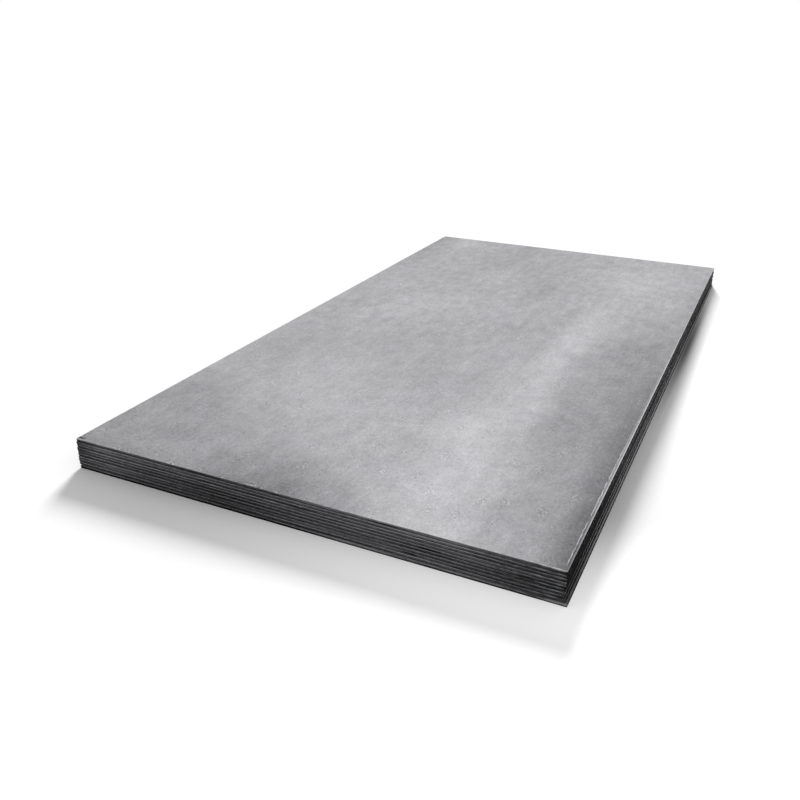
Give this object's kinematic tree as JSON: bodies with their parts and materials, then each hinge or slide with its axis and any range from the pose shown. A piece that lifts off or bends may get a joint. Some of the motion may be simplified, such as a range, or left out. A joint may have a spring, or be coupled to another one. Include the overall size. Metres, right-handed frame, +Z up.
{
  "type": "stack of steel plates",
  "caption": "Flat pile of rectangular hot-rolled steel plates with sheared edges, laid square on each other, for cutting and fabrication.",
  "frame": {"origin": "middle of the pile's footprint, on the floor under the lowest plate", "axes": "+X across the plates, +Y along their rolling direction, +Z up through the pile"},
  "size_m": [1.5098, 3.007, 0.0945],
  "materials": {
    "rolled_steel": "hot-rolled mill finish, grey and faintly mottled, with dark sheared edges"
  },
  "bodies": {
    "root": {"plate_01": "rolled_steel", "plate_02": "rolled_steel", "plate_03": "rolled_steel", "plate_04": "rolled_steel", "plate_05": "rolled_steel", "plate_06": "rolled_steel", "plate_07": "rolled_steel", "plate_08": "rolled_steel", "plate_09": "rolled_steel", "plate_10": "rolled_steel"}
  },
  "joints": []
}
